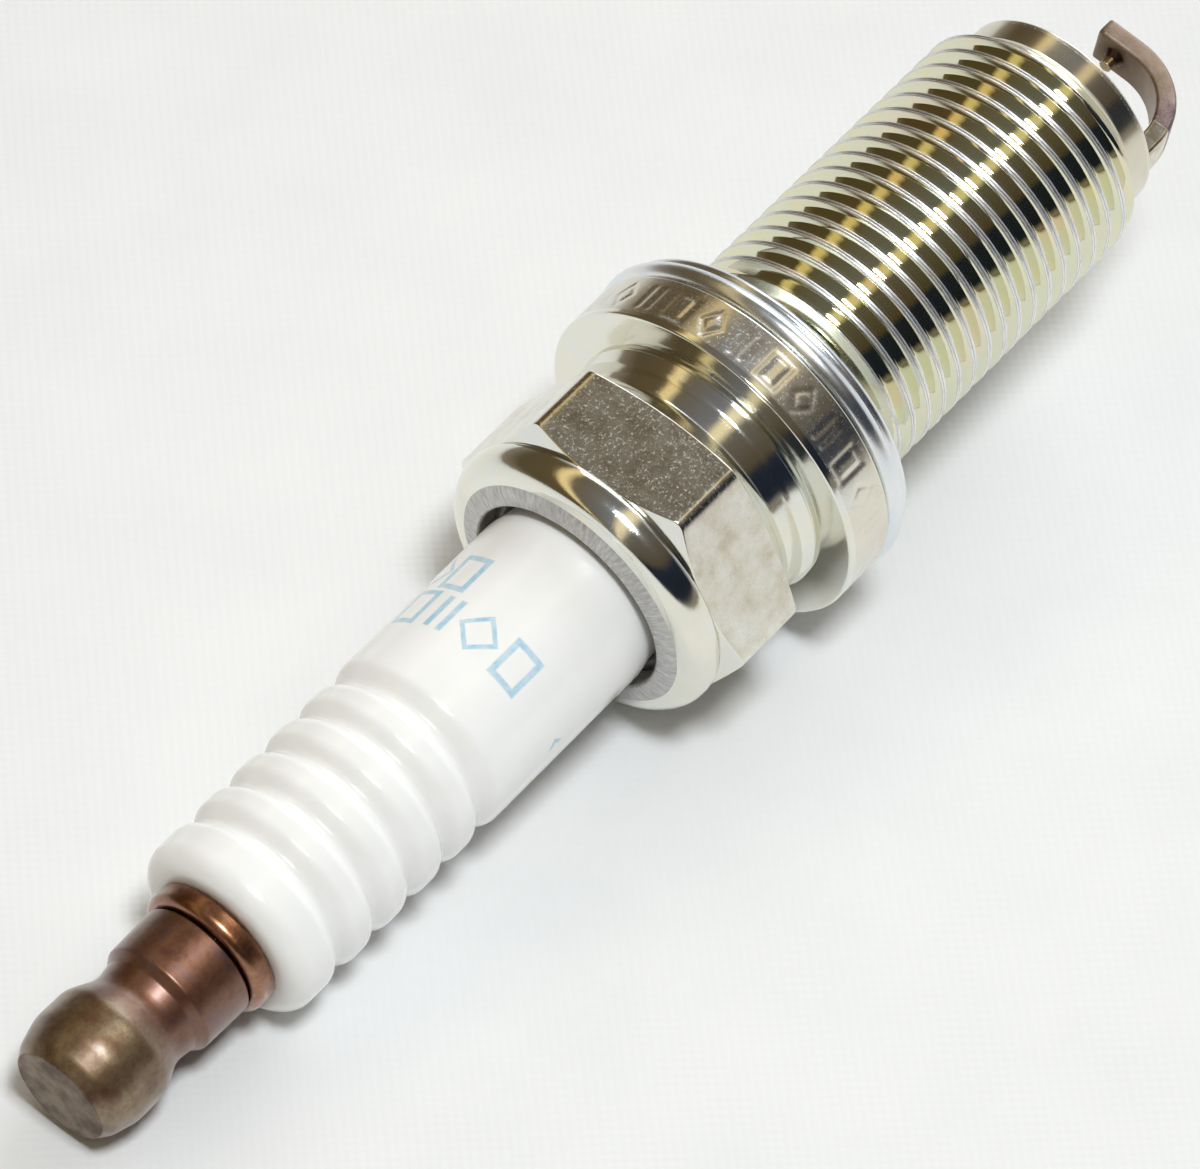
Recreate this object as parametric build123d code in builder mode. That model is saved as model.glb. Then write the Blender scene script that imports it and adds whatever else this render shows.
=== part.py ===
from build123d import *
from math import cos, radians, sin, tan
import os

# Long-reach spark plug with an M14 thread, lying on its side.
# Millimetres. X runs along the plug towards the firing end, Z is up, and the
# origin is on the axis, at the face of the gasket that seals on the engine.

# --- driving dimensions -------------------------------------------------------

# shell: wrench hexagon, flange, thread
thread_crest_r = 6.95
thread_pitch = 1.25
thread_root_r = 6.25
thread_crest_flat = 0.3
thread_start_x = 2.3
thread_end_x = 22.9
reach_end_x = 24.6
pilot_r = 6.0
gasket_neck_r = 6.1
flange_r = 9.65
flange_seat_x = -1.9
flange_back_x = -5.0
waist_r = 7.35
hex_across_flats = 16.0
hex_corner_r = 9.12
hex_front_x = -8.3
hex_back_x = -13.5
hex_turn = 3.0
crimp_end_x = -15.65
crimp_hole_r = 5.72

# shell bore, in steps from the crimp to the firing end
packing_bore_r = 6.4
packing_bore_end_x = -4.6
body_bore_r = 4.05
ledge_r = 3.35
ledge_x = 12.7
ledge_end_x = 14.2
chamber_r = 3.95
seat_slope = 0.5714

# insulator
insulator_end_x = -41.65
barrel_r = 5.25
barrel_end_x = -15.9
packed_barrel_r = 5.05
rib_crest_r = 5.2
rib_valley_r = 4.62
rib_pitch = 2.57
rib_count = 4
first_valley_x = -38.25
barrel_start_x = -26.3
shoulder_x = -11.6
shoulder_r = 6.2
body_r = 3.85
nose_root_r = 2.95
nose_tip_r = 1.95
nose_tip_x = 25.7
core_bore_r = 1.95
electrode_bore_r = 1.2
electrode_seat_x = 10.6

# packing above the insulator shoulder
packing_start_x = -14.35
packing_gap = 0.03
packing_ring_width = 0.9
talc_width = 1.15
seat_washer_width = 0.35

# terminal
stud_flange_back_x = -42.95
stud_flange_r = 3.7
stud_thread_r = 1.98
stud_thread_root_r = 1.56
stud_thread_pitch = 0.7
stud_thread_crest_flat = 0.12
stud_end_x = -50.4
stud_shank_r = 1.8
knurl_r = 1.75
knurl_length = 2.9
knurl_groove_count = 12
knurl_groove_width = 0.3
stud_tip_x = -7.5
nut_bore_r = 2.05
nut_face_x = -43.05
nut_end_x = -53.0
nut_collar_r = 3.27
nut_neck_r = 2.7
nut_bulb_r = 3.42
nut_bore_end_x = -51.3

# electrically conducting stack inside the insulator
upper_seal_end_x = -5.2
resistor_end_x = 3.2
electrode_head_x = 8.6
electrode_head_r = 1.72
electrode_r = 1.14
electrode_end_x = 26.3
electrode_nose_r = 0.55
electrode_nose_length = 0.5
core_r = 0.62
core_end_x = 24.3

# spark gap
centre_weld_length = 0.2
centre_tip_r = 0.3
centre_tip_x = 27.65
spark_gap = 0.9
strap_turn = 188.0
strap_outer_r = 5.4
strap_thickness = 1.1
strap_width = 2.5
strap_inner_x = 29.35
strap_overhang = 1.25
strap_bend_r = 4.5
strap_edge_fillet = 0.22
ground_tip_r = 0.36
ground_tip_length = 0.5
weld_spread = 0.15
weld_height = 0.28
weld_taper = 25

# gasket, folded from sheet
gasket_outer_r = 9.8
gasket_inner_r = 6.62
gasket_sheet = 0.38
gasket_back_x = -1.84

os.makedirs("parts", exist_ok=True)


def turn(*corners, mode=Mode.ADD):
    """Turn a half profile about the plug's axis: corners are (x, r) or (x, r, fillet)."""
    with BuildSketch(Plane.XY) as half_profile:
        with BuildLine():
            FilletPolyline(
                *[corner[:2] for corner in corners],
                radius=[corner[2] if len(corner) > 2 else 0 for corner in corners],
                close=True,
            )
        make_face()
    revolve(half_profile.sketch, axis=Axis.X, mode=mode)


def cut_thread(start_x, end_x, crest_r, root_r, pitch, crest_flat):
    """Cut one helical vee groove, a little longer than the threaded length at both ends."""
    lead_in = 0.9 * pitch
    clear_r = crest_r + 0.2
    half_crest_gap = (pitch - crest_flat) / 2
    half_root = half_crest_gap - (crest_r - root_r) * tan(radians(30))
    half_clear = half_crest_gap + (clear_r - crest_r) * tan(radians(30))
    with BuildLine() as path:
        Helix(
            pitch=pitch,
            height=end_x - start_x + 2 * lead_in,
            radius=root_r,
            center=(start_x - lead_in, 0, 0),
            direction=(1, 0, 0),
        )
    start = path.line @ 0
    outward = Vector(0, start.Y, start.Z).normalized()
    with BuildSketch(Plane(origin=start, x_dir=outward, z_dir=path.line % 0)) as groove:
        with BuildLine():
            Polyline(
                (0, -half_root),
                (clear_r - root_r, -half_clear),
                (clear_r - root_r, half_clear),
                (0, half_root),
                close=True,
            )
        make_face()
    sweep(groove.sketch, path=path.line, is_frenet=True, mode=Mode.SUBTRACT)


def save(piece, name):
    """Label a finished piece and write its STEP file."""
    piece.part.label = name
    export_step(piece.part, f"parts/{name}.step")


def seat_x(r, shift=0.0):
    """Where the sloping seat of the shell lies at radius r, moved back by shift."""
    return ledge_x - seat_slope * (r - ledge_r) - shift


# --- metal shell ----------------------------------------------------------------

flat_r = hex_across_flats / 2
flats_chamfer = (hex_corner_r - flat_r) * tan(radians(30))
front_chamfer = (hex_corner_r - flat_r) * tan(radians(17))

with BuildPart() as hexagon:
    with BuildSketch(Plane.YZ.offset(hex_back_x)):
        RegularPolygon(radius=flat_r, side_count=6, major_radius=False, rotation=hex_turn)
    extrude(amount=hex_front_x - hex_back_x)
    turn(
        (hex_back_x, 0),
        (hex_back_x, flat_r),
        (hex_back_x + flats_chamfer, hex_corner_r, 0.15),
        (hex_front_x - front_chamfer, hex_corner_r, 0.15),
        (hex_front_x, flat_r),
        (hex_front_x, 0),
        mode=Mode.INTERSECT,
    )

with BuildPart() as threaded_barrel:
    turn(
        (flange_seat_x, 0),
        (flange_seat_x, gasket_neck_r),
        (thread_start_x, gasket_neck_r),
        (thread_start_x + thread_crest_r - gasket_neck_r, thread_crest_r),
        (thread_end_x - thread_crest_r + pilot_r, thread_crest_r),
        (thread_end_x, pilot_r),
        (reach_end_x, pilot_r, 0.3),
        (reach_end_x, 0),
    )
    cut_thread(
        thread_start_x, thread_end_x, thread_crest_r, thread_root_r, thread_pitch, thread_crest_flat
    )

with BuildPart() as metal_shell:
    # crimped lip, rolled inwards over the packing
    turn(
        (crimp_end_x, crimp_hole_r, 0.12),
        (crimp_end_x + 0.45, 6.93, 0.05),
        (crimp_end_x + 0.75, 8.2, 0.95),
        (hex_back_x + 0.1, 8.15, 0.35),
        (hex_back_x + 0.1, 7.0),
        (packing_start_x, 6.0),
        (packing_start_x, crimp_hole_r, 0.12),
    )
    add(hexagon.part)
    # waist between hexagon and flange, then the flange itself
    turn(
        (hex_back_x, 0),
        (hex_back_x, flat_r - 0.3),
        (hex_front_x - 0.3, flat_r - 0.3),
        (hex_front_x - 0.01, flat_r - 0.02, 0.12),
        (hex_front_x + 0.9, waist_r, 0.9),
        (flange_back_x - 1.0, waist_r, 0.7),
        (flange_back_x - 0.36, waist_r + 0.32, 0.05),
        (flange_back_x - 0.16, waist_r + 0.05),
        (flange_back_x, flange_r, 0.16),
        (flange_seat_x, flange_r, 0.2),
        (flange_seat_x, 0),
    )
    add(threaded_barrel.part)
    # stepped bore
    turn(
        (crimp_end_x - 1, 0),
        (crimp_end_x - 1, crimp_hole_r),
        (packing_start_x, crimp_hole_r),
        (packing_start_x, packing_bore_r),
        (packing_bore_end_x, packing_bore_r, 0.3),
        (packing_bore_end_x + 2.2, body_bore_r, 0.3),
        (seat_x(body_bore_r), body_bore_r),
        (seat_x(ledge_r), ledge_r),
        (ledge_end_x, ledge_r, 0.1),
        (ledge_end_x + 0.8, chamber_r, 0.2),
        (reach_end_x - 0.15, chamber_r),
        (reach_end_x, chamber_r + 0.15),
        (reach_end_x + 1, chamber_r + 0.15),
        (reach_end_x + 1, 0),
        mode=Mode.SUBTRACT,
    )
save(metal_shell, "metal_shell")

# --- insulator --------------------------------------------------------------------

rib_corners = []
for rib in range(rib_count):
    valley_x = first_valley_x + rib * rib_pitch
    rib_corners.append((valley_x, rib_valley_r, 0.4))
    rib_corners.append((valley_x + 0.28 * rib_pitch, rib_crest_r, 0.75))
    rib_corners.append((valley_x + 0.72 * rib_pitch, rib_crest_r, 0.75))

with BuildPart() as insulator:
    turn(
        (insulator_end_x, core_bore_r, 0.15),
        (insulator_end_x, rib_crest_r, 1.6),
        (first_valley_x - 0.9, rib_crest_r, 0.8),
        *rib_corners,
        (first_valley_x + rib_count * rib_pitch, rib_valley_r, 0.45),
        (barrel_start_x - 0.7, barrel_r, 0.9),
        (barrel_end_x, barrel_r),
        (packing_start_x - 0.4, packed_barrel_r),
        (shoulder_x, packed_barrel_r, 0.25),
        (shoulder_x, shoulder_r, 0.25),
        (packing_bore_end_x - 0.35, shoulder_r, 0.6),
        (packing_bore_end_x + 1.9, body_r, 0.6),
        (seat_x(body_r, seat_washer_width), body_r, 0.1),
        (seat_x(nose_root_r, seat_washer_width), nose_root_r, 0.1),
        (nose_tip_x, nose_tip_r, 0.35),
        (nose_tip_x, electrode_bore_r, 0.1),
        (electrode_seat_x + 0.6, electrode_bore_r),
        (electrode_seat_x, core_bore_r),
    )
save(insulator, "insulator")

# --- packing between shell and insulator ------------------------------------------

ring_inner_r = packed_barrel_r + packing_gap
ring_outer_r = packing_bore_r - packing_gap
talc_start_x = packing_start_x + packing_ring_width
talc_end_x = talc_start_x + talc_width

with BuildPart() as outer_packing_ring:
    turn(
        (packing_start_x, ring_inner_r, 0.3),
        (packing_start_x, ring_outer_r, 0.3),
        (talc_start_x, ring_outer_r, 0.3),
        (talc_start_x, ring_inner_r, 0.3),
    )
save(outer_packing_ring, "outer_packing_ring")

with BuildPart() as talc_fill:
    turn(
        (talc_start_x, ring_inner_r),
        (talc_start_x, ring_outer_r),
        (talc_end_x, ring_outer_r),
        (talc_end_x, ring_inner_r),
    )
save(talc_fill, "talc_fill")

with BuildPart() as inner_packing_ring:
    turn(
        (talc_end_x, ring_inner_r, 0.15),
        (talc_end_x, ring_outer_r, 0.15),
        (shoulder_x, ring_outer_r, 0.15),
        (shoulder_x, ring_inner_r + 0.3),
        (shoulder_x - 0.3, ring_inner_r),
    )
save(inner_packing_ring, "inner_packing_ring")

washer_inner_r = ledge_r + 0.03
washer_outer_r = body_r - 0.05
with BuildPart() as seat_washer:
    turn(
        (seat_x(washer_inner_r, seat_washer_width), washer_inner_r),
        (seat_x(washer_outer_r, seat_washer_width), washer_outer_r),
        (seat_x(washer_outer_r), washer_outer_r),
        (seat_x(washer_inner_r), washer_inner_r),
    )
save(seat_washer, "seat_washer")

# --- terminal -----------------------------------------------------------------------

knurl_start_x = stud_tip_x - knurl_length

with BuildPart() as terminal_stud:
    turn(
        (stud_end_x, 0),
        (stud_end_x, stud_thread_root_r),
        (stud_end_x + 0.4, stud_thread_r),
        (stud_flange_back_x - 0.5, stud_thread_r),
        (stud_flange_back_x - 0.05, stud_thread_root_r - 0.05),
        (stud_flange_back_x, stud_thread_root_r - 0.05),
        (stud_flange_back_x, stud_flange_r, 0.5),
        (insulator_end_x, stud_flange_r, 0.25),
        (insulator_end_x, stud_shank_r),
        # narrow neck behind the knurled end
        (knurl_start_x - 0.7, stud_shank_r),
        (knurl_start_x - 0.5, stud_shank_r - 0.25),
        (knurl_start_x - 0.2, stud_shank_r - 0.25),
        (knurl_start_x, knurl_r),
        (stud_tip_x - 0.3, knurl_r),
        (stud_tip_x, knurl_r - 0.3),
        (stud_tip_x, 0),
    )
    cut_thread(
        stud_end_x,
        stud_flange_back_x - 0.75,
        stud_thread_r,
        stud_thread_root_r,
        stud_thread_pitch,
        stud_thread_crest_flat,
    )
    # straight knurl that the glass seal grips
    with BuildSketch(Plane.YZ.offset(knurl_start_x)):
        with PolarLocations(knurl_r, knurl_groove_count):
            Rectangle(knurl_groove_width, knurl_groove_width, rotation=45)
    extrude(amount=knurl_length + 0.1, mode=Mode.SUBTRACT)
save(terminal_stud, "terminal_stud")

with BuildPart() as terminal_nut:
    turn(
        (nut_face_x, 0),
        (nut_face_x, nut_collar_r - 0.12),
        (nut_face_x - 0.12, nut_collar_r),
        (nut_face_x - 2.95, nut_collar_r - 0.06, 0.3),
        (nut_face_x - 3.45, nut_collar_r - 0.42, 0.35),
        (nut_face_x - 4.55, nut_neck_r, 1.6),
        (nut_face_x - 6.0, nut_bulb_r, 1.2),
        (nut_face_x - 8.6, nut_bulb_r + 0.05, 1.1),
        (nut_end_x, nut_neck_r, 0.25),
        (nut_end_x, 0),
    )
    turn(
        (nut_face_x + 1, 0),
        (nut_face_x + 1, nut_bore_r + 0.3),
        (nut_face_x, nut_bore_r + 0.3),
        (nut_face_x - 0.3, nut_bore_r),
        (nut_bore_end_x, nut_bore_r),
        (nut_bore_end_x - 0.9, 0),
        mode=Mode.SUBTRACT,
    )
save(terminal_nut, "terminal_nut")

# --- conducting stack -----------------------------------------------------------------

stack_r = core_bore_r - packing_gap

with BuildPart() as upper_glass_seal:
    turn(
        (knurl_start_x, stud_shank_r),
        (knurl_start_x, stack_r),
        (upper_seal_end_x, stack_r),
        (upper_seal_end_x, 0),
        (stud_tip_x, 0),
        (stud_tip_x, stud_shank_r),
    )
save(upper_glass_seal, "upper_glass_seal")

with BuildPart() as resistor:
    turn(
        (upper_seal_end_x, 0),
        (upper_seal_end_x, stack_r),
        (resistor_end_x, stack_r),
        (resistor_end_x, 0),
    )
save(resistor, "resistor")

with BuildPart() as lower_glass_seal:
    turn(
        (resistor_end_x, 0),
        (resistor_end_x, stack_r),
        (electrode_seat_x - 0.5, stack_r),
        (electrode_seat_x - 0.5, electrode_head_r),
        (electrode_head_x, electrode_head_r),
        (electrode_head_x, 0),
    )
save(lower_glass_seal, "lower_glass_seal")

with BuildPart() as centre_electrode:
    turn(
        (electrode_head_x, core_r),
        (electrode_head_x, electrode_head_r),
        (electrode_seat_x - 0.1, electrode_head_r),
        (electrode_seat_x + 0.5, electrode_r),
        (electrode_end_x, electrode_r, 0.1),
        (electrode_end_x + electrode_nose_length, electrode_nose_r),
        (electrode_end_x + electrode_nose_length, 0),
        (core_end_x, 0),
        (core_end_x, core_r),
    )
save(centre_electrode, "centre_electrode")

with BuildPart() as centre_copper_core:
    turn(
        (electrode_head_x, 0),
        (electrode_head_x, core_r),
        (core_end_x, core_r),
        (core_end_x, 0),
    )
save(centre_copper_core, "centre_copper_core")

# --- spark gap ----------------------------------------------------------------------------

weld_start_x = electrode_end_x + electrode_nose_length
weld_end_x = weld_start_x + centre_weld_length

with BuildPart() as centre_tip_weld:
    turn(
        (weld_start_x, 0),
        (weld_start_x, electrode_nose_r, 0.06),
        (weld_end_x, centre_tip_r + 0.04),
        (weld_end_x, 0),
    )
save(centre_tip_weld, "centre_tip_weld")

with BuildPart() as centre_tip:
    turn(
        (weld_end_x, 0),
        (weld_end_x, centre_tip_r),
        (centre_tip_x, centre_tip_r, 0.03),
        (centre_tip_x, 0),
    )
save(centre_tip, "centre_tip")

strap_out = Vector(0, cos(radians(strap_turn)), sin(radians(strap_turn)))
strap_side = Vector(1, 0, 0).cross(strap_out)
strap_plane = Plane(origin=(0, 0, 0), x_dir=(1, 0, 0), z_dir=strap_side)
strap_inner_r = strap_outer_r - strap_thickness
strap_outer_x = strap_inner_x + strap_thickness

with BuildPart() as ground_electrode:
    with BuildSketch(strap_plane):
        with BuildLine():
            FilletPolyline(
                (reach_end_x, strap_outer_r),
                (strap_outer_x, strap_outer_r),
                (strap_outer_x, -strap_overhang),
                (strap_inner_x, -strap_overhang),
                (strap_inner_x, strap_inner_r),
                (reach_end_x, strap_inner_r),
                radius=[0, strap_bend_r, 0.12, 0.12, strap_bend_r - strap_thickness, 0],
                close=True,
            )
        make_face()
    extrude(amount=strap_width / 2, both=True)
    long_edges = ground_electrode.edges().filter_by(
        lambda edge: abs(abs(edge.center().dot(strap_side)) - strap_width / 2) < 1e-4
        and edge.center().X > reach_end_x + 0.1
    )
    fillet(long_edges, radius=strap_edge_fillet)
save(ground_electrode, "ground_electrode")

strap_mid_r = strap_outer_r - strap_thickness / 2
weld_plane = Plane(
    origin=Vector(reach_end_x, 0, 0) + strap_out * strap_mid_r,
    x_dir=strap_side,
    z_dir=(1, 0, 0),
)
with BuildPart() as ground_weld:
    with BuildSketch(weld_plane):
        RectangleRounded(strap_width + 2 * weld_spread, strap_thickness + 2 * weld_spread, 0.18)
    extrude(amount=weld_height, taper=weld_taper)
    with BuildSketch(weld_plane):
        Rectangle(strap_width, strap_thickness)
    extrude(amount=1.0, mode=Mode.SUBTRACT)
save(ground_weld, "ground_weld")

ground_tip_x = centre_tip_x + spark_gap
bead_x = ground_tip_x + ground_tip_length

with BuildPart() as ground_tip:
    turn(
        (ground_tip_x, 0),
        (ground_tip_x, ground_tip_r, 0.03),
        (bead_x, ground_tip_r),
        (bead_x, 0),
    )
save(ground_tip, "ground_tip")

with BuildPart() as ground_tip_weld:
    turn(
        (bead_x, 0),
        (bead_x, ground_tip_r + 0.05, 0.04),
        (strap_inner_x, ground_tip_r + 0.3),
        (strap_inner_x, 0),
    )
save(ground_tip_weld, "ground_tip_weld")

# --- gasket --------------------------------------------------------------------------------

fold_inner_r = gasket_inner_r + 0.75
fold_gap = (-gasket_back_x - 3 * gasket_sheet) / 2
with BuildPart() as crush_gasket:
    turn(
        (gasket_back_x, gasket_inner_r, 0.1),
        (gasket_back_x, gasket_outer_r, 0.85),
        (0, gasket_outer_r, 0.85),
        (0, fold_inner_r, 0.35),
        (-2 * gasket_sheet - fold_gap, fold_inner_r, 0.35),
        (-2 * gasket_sheet - fold_gap, gasket_outer_r - 1.05, 0.1),
        (-gasket_sheet - fold_gap, gasket_outer_r - 1.05, 0.1),
        (-gasket_sheet - fold_gap, fold_inner_r + gasket_sheet, 0.08),
        (-gasket_sheet, fold_inner_r + gasket_sheet, 0.08),
        (-gasket_sheet, gasket_outer_r - gasket_sheet, 0.5),
        (gasket_back_x + gasket_sheet, gasket_outer_r - gasket_sheet, 0.5),
        (gasket_back_x + gasket_sheet, gasket_inner_r, 0.1),
    )
save(crush_gasket, "crush_gasket")
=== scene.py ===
"""Looks for the spark plug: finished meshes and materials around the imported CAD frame.

The plug lies along X with its firing end at +X. Profiles are half sections, (x, r) in millimetres.
"""
import math

import bmesh
import bpy
import numpy as np
from mathutils import Matrix, Vector


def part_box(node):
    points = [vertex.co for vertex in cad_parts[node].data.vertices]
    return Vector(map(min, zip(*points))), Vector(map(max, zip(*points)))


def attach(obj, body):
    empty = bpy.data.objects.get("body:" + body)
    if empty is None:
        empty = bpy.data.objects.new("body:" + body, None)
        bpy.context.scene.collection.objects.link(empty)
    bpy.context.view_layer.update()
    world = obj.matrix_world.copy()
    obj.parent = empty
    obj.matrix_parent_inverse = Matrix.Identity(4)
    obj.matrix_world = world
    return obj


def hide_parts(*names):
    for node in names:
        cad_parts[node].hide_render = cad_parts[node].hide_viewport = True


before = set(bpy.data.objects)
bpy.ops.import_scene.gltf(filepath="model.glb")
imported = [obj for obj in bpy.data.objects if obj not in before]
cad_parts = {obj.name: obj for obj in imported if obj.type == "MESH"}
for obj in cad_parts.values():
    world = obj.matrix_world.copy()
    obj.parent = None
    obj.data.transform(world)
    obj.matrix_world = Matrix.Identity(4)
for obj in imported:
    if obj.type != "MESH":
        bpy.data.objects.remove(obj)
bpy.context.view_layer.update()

MM = 0.001
TAU = 2 * math.pi


# --- sizes, from the frame ------------------------------------------------------------


def span(node):
    """Lowest x, highest x and largest radius of a CAD node, in millimetres."""
    low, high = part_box(node)
    return low.x / MM, high.x / MM, max(high.z, high.y) / MM


crimp_end_x, reach_end_x, flange_r = span("metal_shell")
gasket_back_x, _, gasket_r = span("crush_gasket")
insulator_end_x, nose_tip_x, shoulder_r = span("insulator")
nut_end_x, nut_face_x, nut_bulb_r = span("terminal_nut")
strap_base_x, strap_outer_x, _ = span("ground_electrode")

# shell
crimp_hole_r = 5.72
roll_x = -13.95
roll_r = 7.08
roll_depth = 1.33
roll_height = 1.13
hex_back_x = -13.5
hex_front_x = -8.3
hex_flat_r = 8.0
hex_corner_r = 9.12
hex_turn = math.radians(3)
waist_r = 7.35
flange_back_x = -5.0
flange_seat_x = -1.9
neck_r = 6.1
thread_start_x = 1.4
thread_end_x = 22.9
thread_pitch = 1.25
thread_crest_r = 6.95
thread_root_r = 6.25
thread_crest_flat = 0.3
pilot_r = 6.0
chamber_r = 3.95
ledge_r = 3.35
body_bore_r = 4.05
packing_bore_r = 6.4
packing_start_x = -14.35

# the row of generic stamps round the flange, in degrees from +Y
stamp_row_x = -3.45
stamp_cut = 0.035
stamp_stroke = 0.22
stamp_slope_width = 0.14
first_stamp = -58
last_stamp = 206
stamp_step = 12

# insulator
barrel_r = 5.25
packed_barrel_r = 5.05
body_r = 3.85
nose_root_r = 2.95
nose_tip_r = 1.95
core_bore_r = 1.95
electrode_bore_r = 1.2
rib_crest_r = 5.2
rib_valley_r = 4.62
rib_pitch = 2.57
rib_count = 4
first_valley_x = -38.25
barrel_start_x = -26.3
barrel_end_x = -15.9
insulator_step_x = -11.6

# the barrel's print: each mark's row, shape and place along the arc
print_size = 1.08
print_stroke = 0.17
print_edge = 0.04
print_marks = (
    (-22.7, "box", 4.3),
    (-22.7, "bars", 6.5),
    (-22.7, "diamond", 8.7),
    (-22.7, "box", 11.2),
    (-22.7, "diamond", 17.2),
    (-20.0, "diamond", 3.2),
    (-20.0, "box", 5.4),
)

# terminal nut
nut_collar_r = 3.27
nut_neck_r = 2.7
nut_bore_r = 2.05
nut_bore_end_x = -51.3
nut_bulb_x = nut_face_x - 8.0

# gasket, folded from sheet
gasket_sheet = 0.38
gasket_inner_r = 6.62
fold_r = 7.37

# ground electrode
strap_turn = math.radians(188)
strap_outer_r = 5.4
strap_thickness = 1.1
strap_width = 2.5
strap_overhang = 1.25
strap_bend_r = 4.5
strap_corner_r = 0.2
plated_foot_x = 26.9


# --- profiles and meshes --------------------------------------------------------------


LONGEST_FILLET = 0.46  # share of the shorter side beside a corner
LONGEST_SUPPORT = 0.08  # share of a side


def corner_arc(before_place, here, after_place, fillet, step, support):
    """Points round one corner, with a supporting point just past each end of the arc."""
    before = before_place - here
    after = after_place - here
    before_length = np.hypot(*before)
    after_length = np.hypot(*after)
    before = before / before_length
    after = after / after_length
    half = np.arccos(np.clip((before * after).sum(0), -1, 1)) / 2
    longest = LONGEST_FILLET * np.minimum(before_length, after_length)
    tangent = np.minimum(fillet / np.tan(half), longest)
    weight = np.sin(half)
    steps = max(2, math.ceil((math.pi - 2 * float(np.min(half))) / step))
    start = here + before * tangent
    end = here + after * tangent
    points = [start + before * np.minimum(support, LONGEST_SUPPORT * before_length)]
    for i in range(steps + 1):
        t = i / steps
        a = (1 - t) ** 2
        b = 2 * t * (1 - t) * weight
        c = t ** 2
        points.append((a * start + b * here + c * end) / (a + b + c))
    points.append(end + after * np.minimum(support, LONGEST_SUPPORT * after_length))
    return points


def rounded(corners, step=math.radians(11), support=0.04):
    """Points of a profile whose corners (x, r[, fillet]) are rounded; x and r may be arrays."""
    shape = np.broadcast_shapes(*(np.shape(value) for corner in corners for value in corner[:2]))
    places = []
    for x, r, *_ in corners:
        places.append(np.array([np.broadcast_to(x, shape), np.broadcast_to(r, shape)], float))
    points = [places[0]]
    for index in range(1, len(corners) - 1):
        fillet = corners[index][2] if len(corners[index]) > 2 else 0
        if fillet:
            points += corner_arc(*places[index - 1 : index + 2], fillet, step, support)
        else:
            points.append(places[index])
    points.append(places[-1])
    return points


def arc(centre_x, centre_r, depth, height, start, end, step=7.5):
    """Points of an elliptical arc between two angles in degrees, 0 towards +X and 90 outwards."""
    count = max(2, math.ceil(abs(end - start) / step))
    turns = [math.radians(start + (end - start) * i / count) for i in range(count + 1)]
    return [(centre_x + depth * math.cos(turn), centre_r + height * math.sin(turn)) for turn in turns]


def new_object(name, vertices, faces, materials, face_materials=None):
    """A smooth-shaded mesh object from millimetre vertices, welded and facing outwards."""
    mesh = bpy.data.meshes.new(name)
    mesh.from_pydata((np.asarray(vertices, float) * MM).tolist(), [], faces)
    for material in materials:
        mesh.materials.append(material)
    if face_materials is not None:
        mesh.polygons.foreach_set("material_index", np.asarray(face_materials, np.int32))
    work = bmesh.new()
    work.from_mesh(mesh)
    bmesh.ops.remove_doubles(work, verts=work.verts, dist=1e-8)
    bmesh.ops.recalc_face_normals(work, faces=work.faces)
    work.to_mesh(mesh)
    work.free()
    mesh.polygons.foreach_set("use_smooth", np.ones(len(mesh.polygons), bool))
    piece = bpy.data.objects.new(name, mesh)
    bpy.context.scene.collection.objects.link(piece)
    return piece


def ring_points(x, r, angles):
    """Points at radius r round X, one for each angle; x and r are numbers or one value per angle."""
    x = np.broadcast_to(x, angles.shape)
    r = np.broadcast_to(r, angles.shape)
    return np.stack([x, r * np.cos(angles), r * np.sin(angles)], -1)


def lathe(name, profile, material, segments):
    """Turns a closed profile about X."""
    angles = np.arange(segments) * TAU / segments
    vertices = np.concatenate([ring_points(x, r, angles) for x, r in profile])
    faces = []
    for ring in range(len(profile)):
        this = ring * segments
        following = (ring + 1) % len(profile) * segments
        for j in range(segments):
            n = (j + 1) % segments
            faces.append((this + j, this + n, following + n, following + j))
    return new_object(name, vertices, faces, [material])


def finish_piece(piece, body, slot, *nodes):
    """Puts a piece on its body and hides the CAD nodes that it stands for. The slot argument is not
    used.
    """
    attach(piece, body)
    if nodes:
        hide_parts(*nodes)
    return piece


# --- material building blocks -----------------------------------------------------------


SURFACE_SOCKETS = {"color": "Base Color", "coat": "Coat Weight", "coat_roughness": "Coat Roughness"}


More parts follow.
